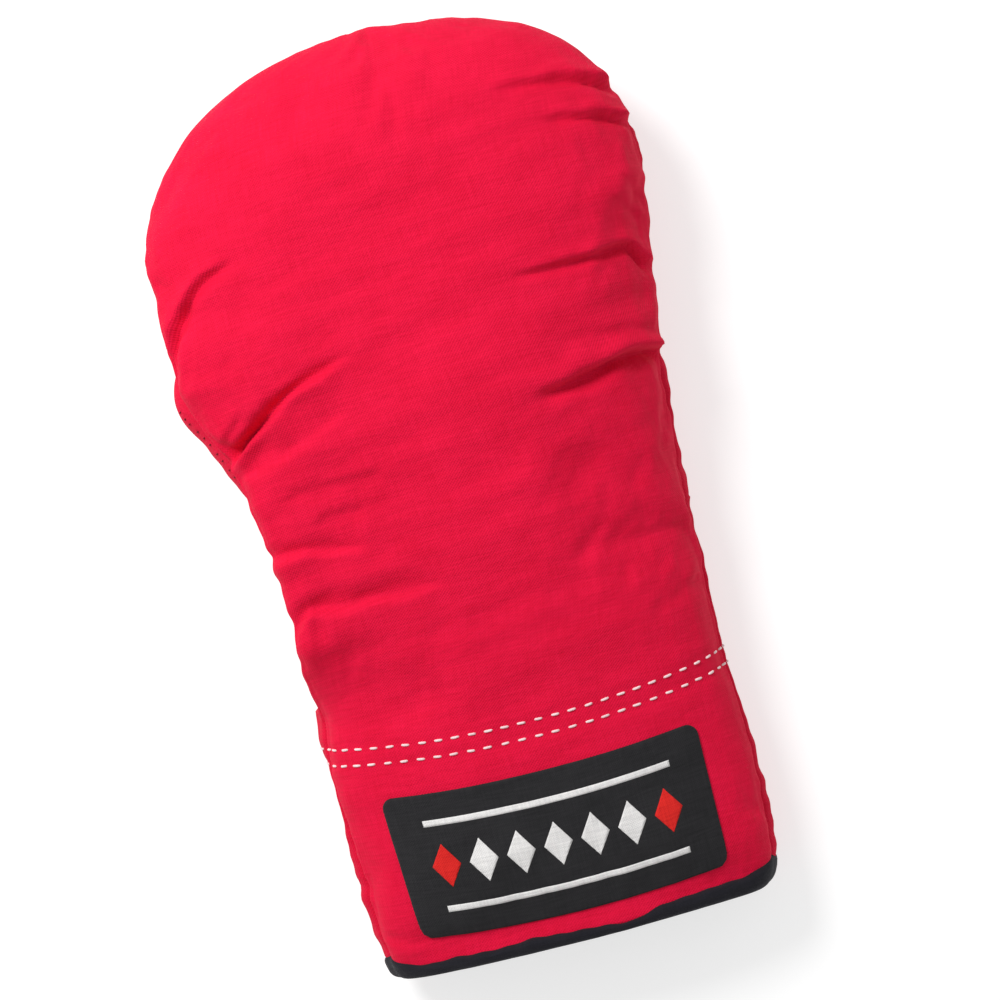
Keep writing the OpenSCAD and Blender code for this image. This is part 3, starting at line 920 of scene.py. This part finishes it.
class Locator:
    """Finds points and normals on a grid of the body's cloth from a place across and along it."""

    def __init__(self, surface):
        self.surface = surface

    def column(self, x, y):
        """Column, with a fraction, where a row crosses x."""
        row = int(np.clip(np.searchsorted(self.surface.rows, y), 1, len(self.surface.rows) - 1))
        places = self.surface.points[row, :, 0]
        order = np.argsort(places)
        return float(np.interp(x, places[order], order))

    def at(self, y, column):
        rows = self.surface.rows
        row = np.clip(np.interp(y, rows, np.arange(len(rows))), 0, len(rows) - 1.001)
        column = np.clip(column, 0, self.surface.COLUMNS - 0.001)
        i, j = int(row), int(column)
        a, b = row - i, column - j
        found = []
        for grid in (self.surface.points, self.surface.normal):
            low = mix(grid[i, j], grid[i, j + 1], b)
            high = mix(grid[i + 1, j], grid[i + 1, j + 1], b)
            found.append(mix(low, high, a))
        return found[0], found[1] / np.linalg.norm(found[1])

    def on(self, x, y):
        return self.at(y, self.column(x, y))


def stitches_on(surface, drop, seed):
    """Rods that follow the cloth along one row of stitches, each dipping into it at both ends."""
    rng = np.random.default_rng(seed)
    locator = Locator(surface)
    columns = np.linspace(2.5, surface.COLUMNS - 2.5, 900)
    row = int(np.searchsorted(surface.rows, STITCH_Y))
    x = np.interp(columns, np.arange(surface.COLUMNS + 1), surface.points[row, :, 0])
    line = np.array([
        locator.at(stitch_line(px) - drop, column)[0] for px, column in zip(x, columns)])
    length = np.concatenate([[0], np.cumsum(np.linalg.norm(np.diff(line, axis=0), axis=1))])
    rods = []
    start = 1.0
    while start + STITCH_LENGTH < length[-1]:
        size = STITCH_LENGTH * rng.uniform(0.93, 1.08)
        tilt = rng.uniform(-0.12, 0.12)
        at = np.linspace(start, start + size, STITCH_STEPS)
        path, lift = [], []
        for k, place in enumerate(np.interp(at, length, columns)):
            px = np.interp(place, columns, x)
            point, normal = locator.at(stitch_line(px) - drop + tilt * (k - 4) / 4, place)
            bow = 0.22 - 0.75 * ((k - 4) / 4) ** 4
            path.append(point + normal * bow)
            lift.append(normal)
        rods.append(rod(path, np.array(lift), STITCH_RADIUS))
        start += STITCH_PITCH * rng.uniform(0.96, 1.04)
    return rods


def make_cuff_stitches(back, palm):
    for name, drop, seed in (("cuff_stitches_upper", 0.0, 3), ("cuff_stitches_lower", STITCH_GAP, 4)):
        piece = joined(name, stitches_on(back, drop, seed) + stitches_on(palm, drop, seed + 9))
        finish_piece(piece, "white_thread", name)


# --- Label ---

def label_place(across, up):
    """Place on the cloth of a point of the label: the middle sags, the lower left pulls in."""
    left = np.clip(0.5 - across / LABEL_HALF_X / 2, 0, 1)
    low = np.clip(0.5 - up / LABEL_HALF_Y / 2, 0, 1)
    x = LABEL_X + across + LABEL_PULL * left ** 2 * low
    return x, LABEL_Y + 1.0 + up - LABEL_SAG * (1 - (across / LABEL_HALF_X) ** 2)


def laid_on_label(name, across, up, low, high, margin=None):
    """Closed piece that follows the cloth under it, between two heights above the cloth."""
    locator = Locator(BACK)
    shape = across.shape
    outer, inner = np.empty((*shape, 3)), np.empty((*shape, 3))
    ease = np.ones(shape) if margin is None else margin
    for i in range(shape[0]):
        for j in range(shape[1]):
            x, y = label_place(across[i, j], up[i, j])
            point, normal = locator.on(x, y)
            outer[i, j] = point + normal * (low + (high - low) * ease[i, j])
            inner[i, j] = point + normal * low
    lengths = np.stack([across, up], axis=-1)
    return slab(name, outer, inner, 1, lengths)


def rounded_grid(half_x, half_y, corner, step):
    """Grid over a rectangle with rounded corners, its columns from right to left."""
    rows = np.concatenate([[-half_y, -half_y + 0.15, -half_y + 0.45],
                           np.arange(-half_y + 1, half_y - 0.9, step),
                           [half_y - 0.45, half_y - 0.15, half_y]])
    count = int(2 * half_x / step)
    middle = np.linspace(-1 + 0.9 / half_x, 1 - 0.9 / half_x, count)
    share = np.concatenate([[-1, -1 + 0.3 / half_x], middle, [1 - 0.3 / half_x, 1]])
    into = np.clip(np.abs(rows) - (half_y - corner), 0, corner)
    reach = half_x - corner + np.sqrt(np.maximum(corner ** 2 - into ** 2, 0))
    across = -share[None, :] * reach[:, None]
    up = np.broadcast_to(rows[:, None], across.shape)
    return across, up


def make_label():
    across, up = rounded_grid(LABEL_HALF_X, LABEL_HALF_Y, LABEL_CORNER, LABEL_STEP)
    reach = across[:, :1]
    edge = np.minimum(reach - np.abs(across), LABEL_HALF_Y - np.abs(up))
    margin = np.sqrt(1 - (1 - np.clip(edge / LABEL_EDGE, LABEL_RIM, 1)) ** 2)
    patch = laid_on_label("label_patch", across, up, LABEL_LOW, LABEL_THICK, margin)
    finish_piece(patch, "label_black", "label_patch")


def lozenge(middle, half_x, half_y, count=9):
    """Points of a lozenge, as a grid whose rows narrow towards its two ends."""
    rows = np.linspace(-1, 1, 2 * count + 1)
    reach = np.maximum(1 - np.abs(rows), 0.02)
    share = np.linspace(1, -1, count)
    across = middle + share[None, :] * reach[:, None] * half_x
    up = np.broadcast_to(rows[:, None] * half_y, across.shape)
    return across, up


def bar(middle_y, half_x, half_y):
    """Points of a straight printed stripe."""
    share = np.linspace(1, -1, 100)
    across = np.broadcast_to(share[None, :] * half_x, (4, 100))
    up = np.broadcast_to(middle_y + np.linspace(-half_y, half_y, 4)[:, None], across.shape)
    return across, up


def merged(name, pieces):
    """Joins several new pieces into the first, and names it."""
    bpy.ops.object.select_all(action="DESELECT")
    for piece in pieces:
        piece.select_set(True)
    bpy.context.view_layer.objects.active = pieces[0]
    bpy.ops.object.join()
    pieces[0].name = name
    return pieces[0]


def make_print():
    """A plain generic pattern in place of the lettering: two stripes and a row of lozenges."""
    heights = (LABEL_THICK - PRINT_SINK, LABEL_THICK + PRINT_THICK)
    white = [laid_on_label("stripe", *bar(y, STRIPE_HALF_X, STRIPE_HALF_Y), *heights)
             for y in (-STRIPE_Y, STRIPE_Y)]
    red = []
    for place in range(-LOZENGES_EACH_SIDE, LOZENGES_EACH_SIDE + 1):
        outline = lozenge(LOZENGE_PITCH * place, LOZENGE_HALF_X, LOZENGE_HALF_Y)
        shape = laid_on_label("lozenge", *outline, *heights)
        (red if abs(place) == LOZENGES_EACH_SIDE else white).append(shape)
    finish_piece(merged("label_stripes", white), "label_white", "label_stripes")
    finish_piece(merged("label_lozenges", red), "label_red", "label_lozenges")


# --- Thumb ---

def thumb_middle(u):
    """Middle line of the thumb: it runs straight on into the palm behind its root."""
    forward = np.maximum(u, 0)
    x = mix(THUMB_ROOT_X, THUMB_TIP_X, forward ** THUMB_BEND)
    y = mix(ROOT_Y, THUMB_TIP_Y, u)
    slope = THUMB_BEND * (THUMB_TIP_X - THUMB_ROOT_X) / (THUMB_TIP_Y - ROOT_Y) * forward ** (THUMB_BEND - 1)
    size = np.hypot(1, slope)
    return x, y, 1 / size, slope / size


def thumb_rows():
    straight = np.linspace(-THUMB_TUCK, 1, THUMB_ROWS + 1)
    cap = 1 - (1 - np.linspace(0, 1, THUMB_CAP + 1)[1:]) ** 1.7
    u = np.concatenate([straight, np.ones(THUMB_CAP)])
    share = np.concatenate([np.zeros(THUMB_ROWS + 1), cap])
    return u[:, None], share[:, None]


def thumb_layer(depth, side):
    u, share = thumb_rows()
    turn = np.linspace(0, math.pi, THUMB_COLUMNS + 1)
    turn = (turn - 0.3 * np.sin(2 * turn) / 2)[None, :]
    x, y, along, lean_x = thumb_middle(u)
    tuck = 1 - 0.16 * ramp(-u, 0.0, 0.05)
    height = rounded(share, THUMB_POWER)
    wide = (THUMB_HALF - depth) * rounded(CAP_REACH * share, THUMB_POWER) * tuck
    rise = np.minimum(1, 1.1 * np.clip(np.sin(turn), 0, 1) ** 0.75)
    z = side * (THUMB_HEIGHT / 2 - depth) * height * rise * tuck
    lean = (THUMB_HEIGHT / 2 + z) / HOLLOW_HEIGHT * ROOT_SLOPE
    reach = (THUMB_HALF - depth) * share
    px = x + along * wide * np.cos(turn) + lean_x * reach
    py = y - lean_x * wide * np.cos(turn) + along * reach + lean * (1 - ramp(u, 0, 0.45))
    return np.stack(np.broadcast_arrays(px, py, THUMB_HEIGHT / 2 + z), axis=-1)


def thumb_surface(side):
    """Cloth of one half of the thumb, with its seam puckers and soft folds."""
    base = thumb_layer(0.0, side)
    normal = normals_of(base, np.array([0, 0, side]))
    across, along = arc_lengths(base, 1), arc_lengths(base, 0)
    edge = np.minimum(across, across[:, -1:] - across)
    edge = np.minimum(edge, along[-1:] - along)
    place = base[..., 1] + 90 * (base[..., 0] > base[:, THUMB_COLUMNS // 2:THUMB_COLUMNS // 2 + 1, 0])
    lift = 0.5 * puckers(place, 31) * np.exp(-edge / 6) - 0.9 * bell(edge, 1.3)
    lift += 0.6 * waves(base[..., 0], base[..., 1], 34, 12 + side, stretch=1.6) * ramp(edge, 0, 9)
    folds = 0.5 * np.sin(base[..., 1] / 3.1 + 0.4 * np.sin(base[..., 0] / 7))
    lift += folds * np.exp(-edge / 10) * 0.6
    points = base + normal * lift[..., None]
    points[..., 2] = np.maximum(points[..., 2], TABLE_CLEARANCE)
    return points, normal, lift, np.stack([across, along], axis=-1)


def make_thumb(side, word):
    points, normal, lift, lengths = thumb_surface(side)
    skin = slab(f"thumb_{word}_panel", points, points - normal * CLOTH, side, lengths)
    # The thumb's lower half takes the palm's darker cotton: painted shade on the side that faces the table.
    finish_piece(skin, "red_cotton" if side > 0 else "red_cotton_palm", f"thumb_{word}_panel",
                 fill=0.5, body="thumb")
    deep = [sunk(thumb_layer(depth, side), normal, lift, HIGHEST_THUMB_LAYER)
            for depth in (*WADDING, *LINING)]
    pad = slab(f"thumb_{word}_wadding", deep[0], deep[1], side)
    finish_piece(pad, "wadding", f"thumb_{word}_wadding", fill=0.5, body="thumb")
    lining = slab(f"thumb_{word}_lining", deep[2], deep[3], side, lengths[::COARSER, ::COARSER])
    finish_piece(lining, "black_lining", f"thumb_{word}_lining", fill=0.2, body="thumb")
    return points, normal


def make_thumb_stitches(points, normal):
    """Short bars across the thumb's upper cloth, a little way in from its outer seam."""
    rods = []
    column = int(THUMB_COLUMNS * THUMB_STITCH_COLUMN)
    first, last = int(THUMB_ROWS * THUMB_STITCH_START), THUMB_ROWS + 8
    for row in np.linspace(first, last, THUMB_STITCHES).astype(int):
        path = [points[row, column + k] + normal[row, column + k] * (0.15 - 0.1 * (k - 1.5) ** 2)
                for k in range(4)]
        rods.append(rod(path, normal[row, column:column + 4],
                        THUMB_STITCH_RADIUS, THUMB_STITCH_SIDES))
    piece = joined("thumb_seam_stitches", rods)
    finish_piece(piece, "dark_red_thread", "thumb_seam_stitches", body="thumb")


# --- Studio ---

def make_floor():
    size = 3000
    points = [(-size, -size, -0.3), (size, -size, -0.3), (size, size, -0.3), (-size, size, -0.3)]
    floor = new_piece("studio_floor", points, [[0, 1, 2, 3]], smooth=False)
    shader = Shader("studio_floor")
    floor.data.materials.append(shader.set(color=(0.5, 0.5, 0.5, 1), rough=0.95, shine=0.0))
    shader.surface.inputs["Emission Color"].default_value = (1, 1, 1, 1)
    shader.surface.inputs["Emission Strength"].default_value = FLOOR_GLOW


def make_camera():
    data = bpy.data.cameras.new("camera")
    data.sensor_width = 36
    data.lens = CAMERA_DISTANCE / CAMERA_VIEW * data.sensor_width
    camera = bpy.data.objects.new("camera", data)
    bpy.context.scene.collection.objects.link(camera)
    camera.location = Vector((*CAMERA_OVER, CAMERA_DISTANCE + CAMERA_PLANE)) * MM
    camera.rotation_euler = (0, 0, -CAMERA_ROLL)
    bpy.context.scene.camera = camera


def make_light(name, place, size, power, color=(1, 1, 1)):
    data = bpy.data.lights.new(name, "AREA")
    data.shape = "DISK"
    data.size = size
    data.energy = power
    data.color = color
    light = bpy.data.objects.new(name, data)
    bpy.context.scene.collection.objects.link(light)
    light.location = place
    light.rotation_euler = (-Vector(place)).to_track_quat("-Z", "Y").to_euler()


def make_studio():
    make_floor()
    make_camera()
    for name, place, size, power in LIGHTS:
        make_light(name, place, size, power)
    world = bpy.data.worlds.new("studio")
    world.use_nodes = True
    world.node_tree.nodes["Background"].inputs["Color"].default_value = (1, 1, 1, 1)
    world.node_tree.nodes["Background"].inputs["Strength"].default_value = WORLD_LIGHT
    bpy.context.scene.world = world
    bpy.context.scene.view_settings.view_transform = "Standard"


# --- Everything together ---

make_studio()
MATERIALS = make_materials()
BACK, PALM = Surface(1), Surface(-1)
for cloth_side, wrinkles in zip((BACK, PALM), slack_wrinkles(BACK, PALM)):
    cloth_side.form(wrinkles)
join_at_seams(BACK, PALM)
make_body(BACK, "back", "red_cotton")
# The palm gets the darker copy of the red cotton: painted shade on the side that faces the table.
make_body(PALM, "palm", "red_cotton_palm")
make_binding()
make_cuff_stitches(BACK, PALM)
make_label()
make_print()
make_thumb_stitches(*make_thumb(1, "inner"))
make_thumb(-1, "outer")
